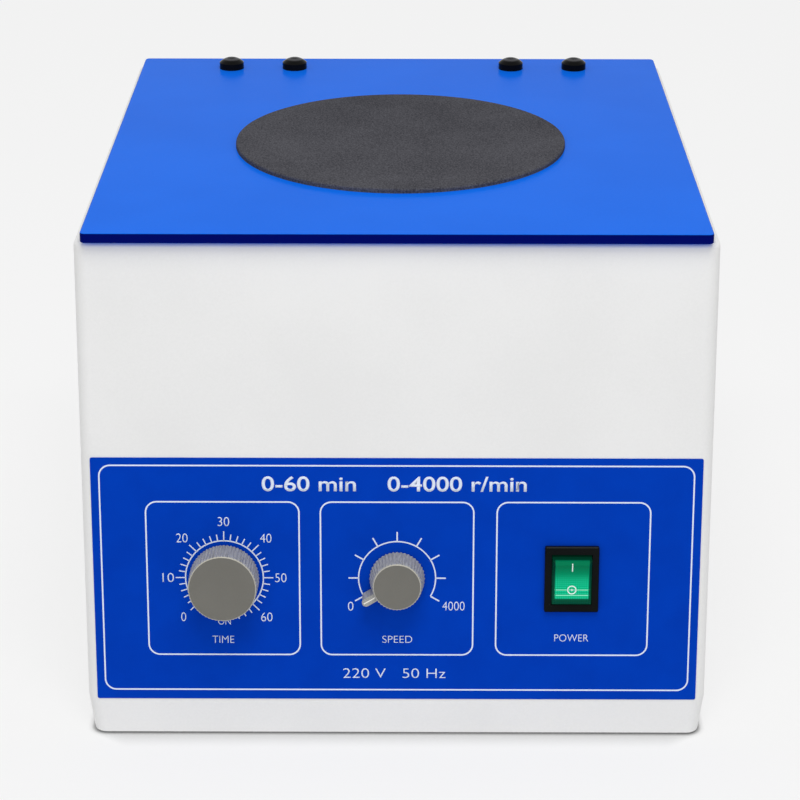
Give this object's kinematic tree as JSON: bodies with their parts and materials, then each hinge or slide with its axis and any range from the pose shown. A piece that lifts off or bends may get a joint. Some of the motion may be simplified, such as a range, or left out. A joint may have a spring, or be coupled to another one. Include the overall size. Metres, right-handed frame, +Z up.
{
  "type": "bench-top tube centrifuge",
  "caption": "Bench-top tube centrifuge: white sheet cabinet, blue hinged lid, timer and speed knobs, rocker switch and an angle rotor in its bowl.",
  "frame": {"origin": "middle of the whole part's footprint, on the bench", "axes": "+X to the right seen from the front, +Y to the back, +Z up"},
  "size_m": [0.3006, 0.3609, 0.2512],
  "materials": {
    "white_paint": "satin",
    "blue_paint": "gloss",
    "label_film": "satin",
    "black_plastic": "gloss",
    "dark_plastic": "matte",
    "grey_plastic": "satin",
    "green_plastic": "gloss",
    "grey_rubber": "matte",
    "black_rubber": "matte",
    "zinc_steel": "satin",
    "stainless": "brushed",
    "aluminium": "satin",
    "brass": "satin",
    "copper_like": "satin",
    "dark_steel": "satin",
    "board_green": "satin",
    "carbon": "matte"
  },
  "bodies": {
    "cabinet": {"cabinet_shell": "white_paint", "rear_cover": "white_paint", "rear_cover_screws": "zinc_steel", "base_tray": "zinc_steel", "tray_screws": "zinc_steel", "rubber_feet": "black_rubber", "foot_screws": "zinc_steel", "chamber_bowl": "stainless", "lid_gasket": "black_rubber", "shaft_boot": "black_rubber", "motor_can": "dark_steel", "motor_lower_bell": "aluminium", "motor_upper_bell": "aluminium", "motor_bearings": "zinc_steel", "motor_stator": "dark_steel", "carbon_brushes": "carbon", "motor_plate": "zinc_steel", "motor_screws": "zinc_steel", "motor_dampers": "black_rubber", "damper_screws": "zinc_steel", "hinge_fixed_leaves": "stainless", "hinge_pins": "stainless", "hinge_screws": "zinc_steel", "panel_overlay": "label_film", "timer_case": "dark_plastic", "timer_nut": "zinc_steel", "speed_control": "zinc_steel", "speed_nut": "zinc_steel", "switch_housing": "black_plastic", "switch_terminals": "brass", "power_inlet": "black_plastic", "inlet_pins": "brass", "inlet_screws": "zinc_steel", "fuse_holder": "black_plastic", "control_board": "board_green", "board_standoffs": "brass", "board_screws": "zinc_steel", "board_components": "dark_plastic", "heat_sink": "aluminium"},
    "lid": {"lid_plate": "blue_paint", "lid_pad": "grey_rubber", "hinge_moving_leaves": "stainless", "lid_bolts": "zinc_steel", "lid_bolt_caps": "black_plastic"},
    "rotor": {"rotor_head": "aluminium", "tube_sleeves": "stainless", "rotor_washer": "zinc_steel", "rotor_nut": "zinc_steel", "spindle": "zinc_steel", "motor_armature": "dark_steel", "commutator": "copper_like"},
    "timer_knob": {"timer_knob": "grey_plastic", "timer_shaft": "zinc_steel"},
    "speed_knob": {"speed_knob": "grey_plastic", "speed_shaft": "zinc_steel"},
    "switch_rocker": {"rocker": "green_plastic"}
  },
  "joints": [
    {"name": "lid_hinge", "type": "hinge", "parent": "cabinet", "child": "lid", "pos_m": [0, 0.17413, 0.2377], "axis": [-1, 0, 0], "range_deg": [0, 105]},
    {"name": "rotor_spin", "type": "hinge", "parent": "cabinet", "child": "rotor", "pos_m": [0, -0.00427, 0.196], "axis": [0, 0, 1], "continuous": true},
    {"name": "timer_turn", "type": "hinge", "parent": "cabinet", "child": "timer_knob", "pos_m": [-0.0813, -0.16228, 0.079], "axis": [0, 0.9925, -0.1219], "range_deg": [0, 270]},
    {"name": "speed_turn", "type": "hinge", "parent": "cabinet", "child": "speed_knob", "pos_m": [0.0003, -0.16228, 0.079], "axis": [0, 0.9925, -0.1219], "range_deg": [0, 240]},
    {"name": "switch_rock", "type": "hinge", "parent": "cabinet", "child": "switch_rocker", "pos_m": [0.0827, -0.16059, 0.07879], "axis": [-1, 0, 0], "range_deg": [0, 14]}
  ]
}
